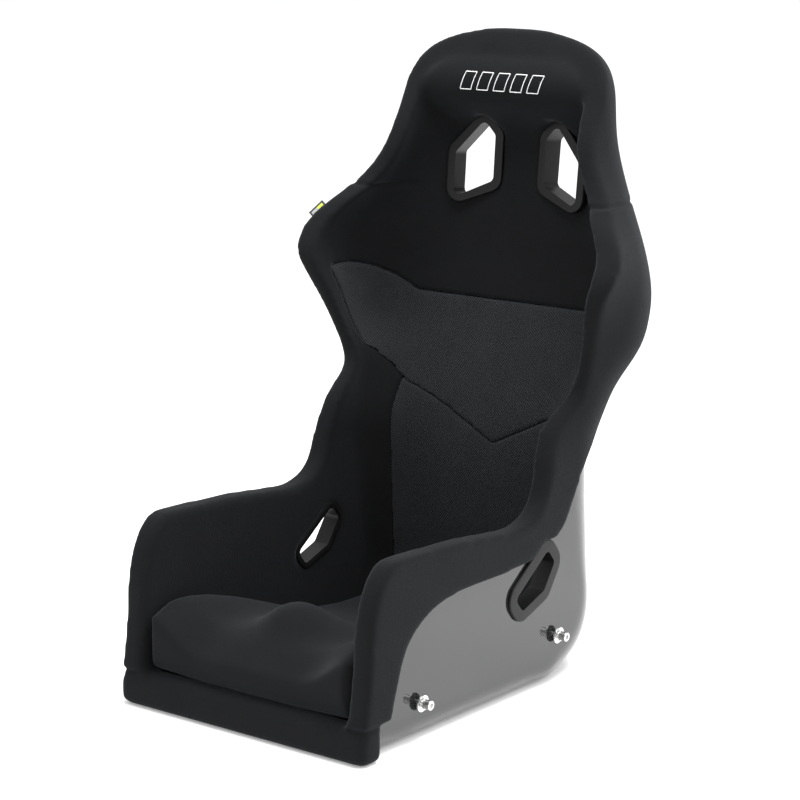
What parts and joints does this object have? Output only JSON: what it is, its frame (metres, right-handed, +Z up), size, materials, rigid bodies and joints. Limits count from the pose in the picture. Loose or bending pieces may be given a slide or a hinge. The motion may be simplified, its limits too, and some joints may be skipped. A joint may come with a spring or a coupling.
{
  "type": "racing seat",
  "caption": "Fixed-back bucket racing seat with moulded shell, padded mesh lining, shoulder and lap harness slots, lift-out cushion and side-mount bolts.",
  "frame": {"origin": "on the flat underside of the shell's base, on the middle plane", "axes": "+Z up; the seat faces -Y; +X is the occupant's left"},
  "size_m": [0.5553, 0.6583, 0.8922],
  "materials": {
    "gelcoat": "gloss black gelcoat over glass fibre",
    "knit_fabric": "fine black knitted fabric over foam",
    "mesh_fabric": "black spacer mesh with fine dimples",
    "cushion_fabric": "fine black knitted fabric over soft foam",
    "bezel_plastic": "satin moulded plastic",
    "zinc_steel": "bright zinc plate",
    "hook_loop": "hook-and-loop tape",
    "tag_weave": "woven satin label"
  },
  "bodies": {
    "seat_body": {"shell": "gelcoat", "head_pad": "knit_fabric", "shoulder_panel": "mesh_fabric", "lumbar_panel": "mesh_fabric", "side_pad_left": "knit_fabric", "side_pad_right": "knit_fabric", "rim_roll_left": "knit_fabric", "rim_roll_right": "knit_fabric", "rim_roll_head": "knit_fabric", "front_lip_roll": "knit_fabric", "shoulder_bezel_left": "bezel_plastic", "shoulder_bezel_right": "bezel_plastic", "shoulder_ring_left": "bezel_plastic", "shoulder_ring_right": "bezel_plastic", "lap_bezel_left": "bezel_plastic", "lap_bezel_right": "bezel_plastic", "lap_ring_left": "bezel_plastic", "lap_ring_right": "bezel_plastic", "mount_bolts_left": "zinc_steel", "mount_bolts_right": "zinc_steel", "flat_washers_left": "zinc_steel", "flat_washers_right": "zinc_steel", "spring_washers_left": "zinc_steel", "spring_washers_right": "zinc_steel", "mount_plate_left": "zinc_steel", "mount_plate_right": "zinc_steel", "captive_nuts_left": "zinc_steel", "captive_nuts_right": "zinc_steel", "hook_strips": "hook_loop", "side_tag": "tag_weave"},
    "cushion": {"seat_cushion": "cushion_fabric", "loop_strips": "hook_loop"}
  },
  "joints": [
    {"name": "cushion_lift", "type": "slide", "parent": "seat_body", "child": "cushion", "axis": [0, 0, 1], "range_m": [0, 0.25]}
  ]
}
